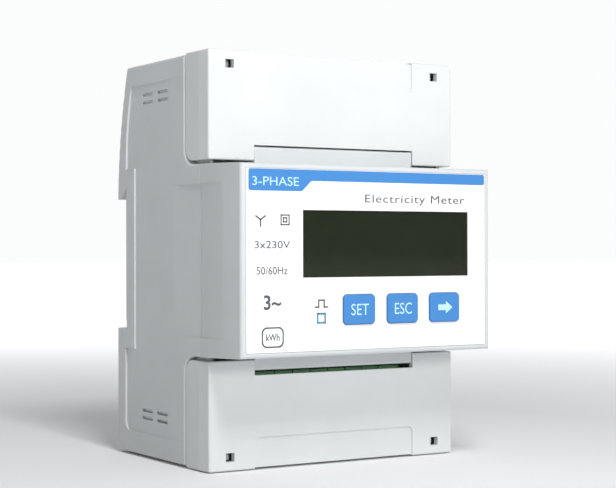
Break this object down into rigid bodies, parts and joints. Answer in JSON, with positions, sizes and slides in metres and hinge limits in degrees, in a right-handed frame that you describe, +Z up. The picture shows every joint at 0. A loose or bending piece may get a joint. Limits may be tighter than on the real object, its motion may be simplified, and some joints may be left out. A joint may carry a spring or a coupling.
{
  "type": "smart electric meter",
  "caption": "DIN-rail electricity meter: grey case with rail latch, raised front with dark display and blue keys, hinged terminal covers above and below.",
  "frame": {"origin": "centre of the plane that seats on the DIN rail, on the centre line of the rail", "axes": "+X to the right seen from the front, -Y out of the front of the meter, +Z up"},
  "size_m": [0.072, 0.0661, 0.1],
  "materials": {
    "case": "satin moulded polycarbonate, light grey",
    "cover": "satin moulded polycarbonate, near white",
    "label": "smooth printed film, white and blue",
    "window": "clear pane over a dark display",
    "glass": "liquid crystal glass",
    "key": "soft blue keys",
    "black_plastic": "black moulded plastic",
    "green_plastic": "green terminal plastic",
    "natural_plastic": "natural moulded plastic",
    "circuit_board": "green solder mask",
    "light_guide": "clear light guide",
    "lamp": "tinted lamp body",
    "rubber": "zebra strip",
    "steel": "zinc-plated steel",
    "brass": "nickel-plated brass",
    "iron": "stacked laminations",
    "winding": "taped winding",
    "capacitor": "sleeved aluminium cans",
    "ceramic": "coated ceramic discs"
  },
  "bodies": {
    "meter": {"board_screws": "steel", "display_board": "circuit_board", "display_window": "window", "filter_capacitors": "capacitor", "front_housing": "case", "front_label": "label", "housing_screws": "steel", "key_switches": "black_plastic", "lcd_backlight": "natural_plastic", "lcd_connector": "rubber", "lcd_frame": "black_plastic", "lcd_glass": "glass", "light_pipe": "light_guide", "metering_board": "circuit_board", "metering_chips": "black_plastic", "pulse_led": "lamp", "rear_base": "case", "riser_board": "circuit_board", "riser_connectors": "black_plastic", "signal_bars": "brass", "signal_terminal_block": "green_plastic", "surge_varistors": "ceramic", "transformer_core": "iron", "transformer_winding": "winding", "voltage_bars": "brass", "voltage_terminal_block": "natural_plastic"},
    "upper_cover": {"upper_cover": "cover"},
    "lower_cover": {"lower_cover": "cover"},
    "set_key": {"set_key": "key", "set_plunger": "black_plastic"},
    "escape_key": {"escape_key": "key", "escape_plunger": "black_plastic"},
    "arrow_key": {"arrow_key": "key", "arrow_plunger": "black_plastic"},
    "din_latch": {"din_latch": "case", "latch_spring": "steel"},
    "voltage_screw_1": {"voltage_screw_1": "steel"},
    "voltage_cage_1": {"voltage_cage_1": "steel"},
    "voltage_screw_2": {"voltage_screw_2": "steel"},
    "voltage_cage_2": {"voltage_cage_2": "steel"},
    "voltage_screw_3": {"voltage_screw_3": "steel"},
    "voltage_cage_3": {"voltage_cage_3": "steel"},
    "voltage_screw_4": {"voltage_screw_4": "steel"},
    "voltage_cage_4": {"voltage_cage_4": "steel"},
    "signal_screw_1": {"signal_screw_1": "steel"},
    "signal_cage_1": {"signal_cage_1": "steel"},
    "signal_screw_2": {"signal_screw_2": "steel"},
    "signal_cage_2": {"signal_cage_2": "steel"},
    "signal_screw_3": {"signal_screw_3": "steel"},
    "signal_cage_3": {"signal_cage_3": "steel"},
    "signal_screw_4": {"signal_screw_4": "steel"},
    "signal_cage_4": {"signal_cage_4": "steel"},
    "signal_screw_5": {"signal_screw_5": "steel"},
    "signal_cage_5": {"signal_cage_5": "steel"},
    "signal_screw_6": {"signal_screw_6": "steel"},
    "signal_cage_6": {"signal_cage_6": "steel"},
    "signal_screw_7": {"signal_screw_7": "steel"},
    "signal_cage_7": {"signal_cage_7": "steel"},
    "signal_screw_8": {"signal_screw_8": "steel"},
    "signal_cage_8": {"signal_cage_8": "steel"}
  },
  "joints": [
    {"name": "upper_cover_hinge", "type": "hinge", "parent": "meter", "child": "upper_cover", "pos_m": [0, -0.0429, 0.0248], "axis": [1, 0, 0], "range_deg": [0, 90]},
    {"name": "lower_cover_hinge", "type": "hinge", "parent": "meter", "child": "lower_cover", "pos_m": [0, -0.0429, -0.0248], "axis": [-1, 0, 0], "range_deg": [0, 90]},
    {"name": "set_key_press", "type": "slide", "parent": "meter", "child": "set_key", "axis": [0, 1, 0], "range_m": [0, 0.0006], "stiffness_N_per_m": 3000, "springref_m": -0.0002},
    {"name": "escape_key_press", "type": "slide", "parent": "meter", "child": "escape_key", "axis": [0, 1, 0], "range_m": [0, 0.0006], "stiffness_N_per_m": 3000, "springref_m": -0.0002},
    {"name": "arrow_key_press", "type": "slide", "parent": "meter", "child": "arrow_key", "axis": [0, 1, 0], "range_m": [0, 0.0006], "stiffness_N_per_m": 3000, "springref_m": -0.0002},
    {"name": "din_latch_slide", "type": "slide", "parent": "meter", "child": "din_latch", "axis": [0, 0, -1], "range_m": [0, 0.005], "stiffness_N_per_m": 2000, "springref_m": -0.004, "deforming": ["latch_spring"]},
    {"name": "voltage_cage_1_slide", "type": "slide", "parent": "meter", "child": "voltage_cage_1", "axis": [0, -1, 0], "range_m": [0, 0.0044]},
    {"name": "voltage_screw_1_turn", "type": "hinge", "parent": "meter", "child": "voltage_screw_1", "pos_m": [-0.0225, -0.0255, 0.038], "axis": [0, 1, 0], "range_deg": [0, 2641]},
    {"name": "voltage_cage_2_slide", "type": "slide", "parent": "meter", "child": "voltage_cage_2", "axis": [0, -1, 0], "range_m": [0, 0.0044]},
    {"name": "voltage_screw_2_turn", "type": "hinge", "parent": "meter", "child": "voltage_screw_2", "pos_m": [-0.0075, -0.0255, 0.038], "axis": [0, 1, 0], "range_deg": [0, 2641]},
    {"name": "voltage_cage_3_slide", "type": "slide", "parent": "meter", "child": "voltage_cage_3", "axis": [0, -1, 0], "range_m": [0, 0.0044]},
    {"name": "voltage_screw_3_turn", "type": "hinge", "parent": "meter", "child": "voltage_screw_3", "pos_m": [0.0075, -0.0255, 0.038], "axis": [0, 1, 0], "range_deg": [0, 2641]},
    {"name": "voltage_cage_4_slide", "type": "slide", "parent": "meter", "child": "voltage_cage_4", "axis": [0, -1, 0], "range_m": [0, 0.0044]},
    {"name": "voltage_screw_4_turn", "type": "hinge", "parent": "meter", "child": "voltage_screw_4", "pos_m": [0.0225, -0.0255, 0.038], "axis": [0, 1, 0], "range_deg": [0, 2641]},
    {"name": "signal_cage_1_slide", "type": "slide", "parent": "meter", "child": "signal_cage_1", "axis": [0, -1, 0], "range_m": [0, 0.0023]},
    {"name": "signal_screw_1_turn", "type": "hinge", "parent": "meter", "child": "signal_screw_1", "pos_m": [-0.01778, -0.034, -0.036], "axis": [0, 1, 0], "range_deg": [0, 1841]},
    {"name": "signal_cage_2_slide", "type": "slide", "parent": "meter", "child": "signal_cage_2", "axis": [0, -1, 0], "range_m": [0, 0.0023]},
    {"name": "signal_screw_2_turn", "type": "hinge", "parent": "meter", "child": "signal_screw_2", "pos_m": [-0.0127, -0.034, -0.036], "axis": [0, 1, 0], "range_deg": [0, 1841]},
    {"name": "signal_cage_3_slide", "type": "slide", "parent": "meter", "child": "signal_cage_3", "axis": [0, -1, 0], "range_m": [0, 0.0023]},
    {"name": "signal_screw_3_turn", "type": "hinge", "parent": "meter", "child": "signal_screw_3", "pos_m": [-0.00762, -0.034, -0.036], "axis": [0, 1, 0], "range_deg": [0, 1841]},
    {"name": "signal_cage_4_slide", "type": "slide", "parent": "meter", "child": "signal_cage_4", "axis": [0, -1, 0], "range_m": [0, 0.0023]},
    {"name": "signal_screw_4_turn", "type": "hinge", "parent": "meter", "child": "signal_screw_4", "pos_m": [-0.00254, -0.034, -0.036], "axis": [0, 1, 0], "range_deg": [0, 1841]},
    {"name": "signal_cage_5_slide", "type": "slide", "parent": "meter", "child": "signal_cage_5", "axis": [0, -1, 0], "range_m": [0, 0.0023]},
    {"name": "signal_screw_5_turn", "type": "hinge", "parent": "meter", "child": "signal_screw_5", "pos_m": [0.00254, -0.034, -0.036], "axis": [0, 1, 0], "range_deg": [0, 1841]},
    {"name": "signal_cage_6_slide", "type": "slide", "parent": "meter", "child": "signal_cage_6", "axis": [0, -1, 0], "range_m": [0, 0.0023]},
    {"name": "signal_screw_6_turn", "type": "hinge", "parent": "meter", "child": "signal_screw_6", "pos_m": [0.00762, -0.034, -0.036], "axis": [0, 1, 0], "range_deg": [0, 1841]},
    {"name": "signal_cage_7_slide", "type": "slide", "parent": "meter", "child": "signal_cage_7", "axis": [0, -1, 0], "range_m": [0, 0.0023]},
    {"name": "signal_screw_7_turn", "type": "hinge", "parent": "meter", "child": "signal_screw_7", "pos_m": [0.0127, -0.034, -0.036], "axis": [0, 1, 0], "range_deg": [0, 1841]},
    {"name": "signal_cage_8_slide", "type": "slide", "parent": "meter", "child": "signal_cage_8", "axis": [0, -1, 0], "range_m": [0, 0.0023]},
    {"name": "signal_screw_8_turn", "type": "hinge", "parent": "meter", "child": "signal_screw_8", "pos_m": [0.01778, -0.034, -0.036], "axis": [0, 1, 0], "range_deg": [0, 1841]}
  ],
  "couplings": [
    {"joint": "voltage_screw_1_turn", "follows": "voltage_cage_1_slide", "rad_per_m": 10472},
    {"joint": "voltage_screw_2_turn", "follows": "voltage_cage_2_slide", "rad_per_m": 10472},
    {"joint": "voltage_screw_3_turn", "follows": "voltage_cage_3_slide", "rad_per_m": 10472},
    {"joint": "voltage_screw_4_turn", "follows": "voltage_cage_4_slide", "rad_per_m": 10472},
    {"joint": "signal_screw_1_turn", "follows": "signal_cage_1_slide", "rad_per_m": 13963},
    {"joint": "signal_screw_2_turn", "follows": "signal_cage_2_slide", "rad_per_m": 13963},
    {"joint": "signal_screw_3_turn", "follows": "signal_cage_3_slide", "rad_per_m": 13963},
    {"joint": "signal_screw_4_turn", "follows": "signal_cage_4_slide", "rad_per_m": 13963},
    {"joint": "signal_screw_5_turn", "follows": "signal_cage_5_slide", "rad_per_m": 13963},
    {"joint": "signal_screw_6_turn", "follows": "signal_cage_6_slide", "rad_per_m": 13963},
    {"joint": "signal_screw_7_turn", "follows": "signal_cage_7_slide", "rad_per_m": 13963},
    {"joint": "signal_screw_8_turn", "follows": "signal_cage_8_slide", "rad_per_m": 13963}
  ]
}
